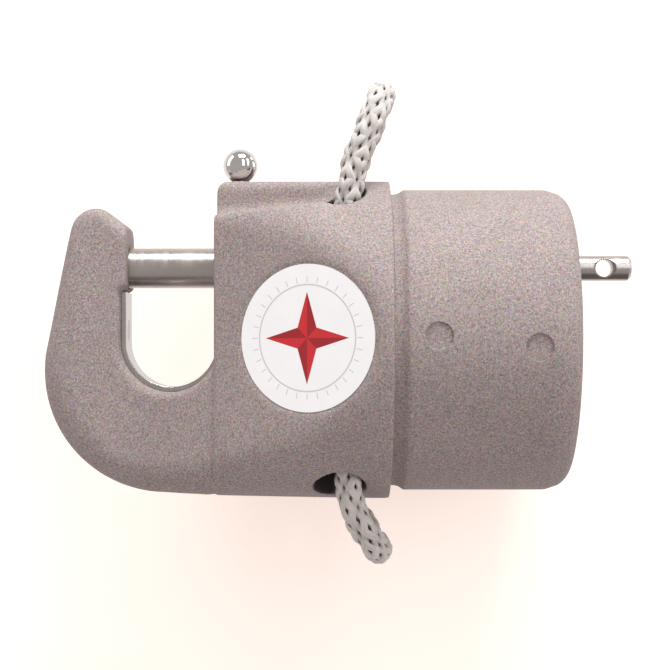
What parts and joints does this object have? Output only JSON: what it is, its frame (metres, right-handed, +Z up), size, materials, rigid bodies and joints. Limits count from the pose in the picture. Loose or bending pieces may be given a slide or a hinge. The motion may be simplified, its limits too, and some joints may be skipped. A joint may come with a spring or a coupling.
{
  "type": "spinnaker pole end fitting",
  "caption": "Cast end fitting for a sailing spar: hooked jaw closed by a sprung piston with a ball knob, on a round hollow spigot that plugs into a pole tube, with a rope bridle.",
  "frame": {"origin": "centre of the shoulder face that the end of the pole tube butts against, on the spigot's axis", "axes": "+X along the pole, out of the fitting and into the tube; the jaw is at -X. +Z up, the way the ball knob stands. The badge is on the -Y flank"},
  "size_m": [0.1862, 0.1002, 0.1549],
  "materials": {
    "cast_aluminium": "fine sand-cast, blasted and anodised, matt",
    "stainless_steel": "turned or rolled, satin",
    "polished_steel": "polished ball",
    "bush_plastic": "turned acetal",
    "badge_print": "printed disc, satin",
    "rope_braid": "braided, soft"
  },
  "bodies": {
    "housing": {"jaw_casting": "cast_aluminium", "throat_liner": "stainless_steel", "liner_screw_arm": "stainless_steel", "liner_screw_heel": "stainless_steel", "return_spring": "stainless_steel", "guide_plug": "bush_plastic", "plug_circlip": "stainless_steel", "badge": "badge_print", "rope_bridle": "rope_braid"},
    "piston_set": {"piston": "stainless_steel", "trip_rod": "stainless_steel", "rod_pin": "stainless_steel", "knob_stem": "stainless_steel", "ball_knob": "polished_steel"}
  },
  "joints": [
    {"name": "piston_slide", "type": "slide", "parent": "housing", "child": "piston_set", "axis": [1, 0, 0], "range_m": [0, 0.0363], "stiffness_N_per_m": 350, "springref_m": -0.02, "deforming": ["return_spring"]}
  ]
}
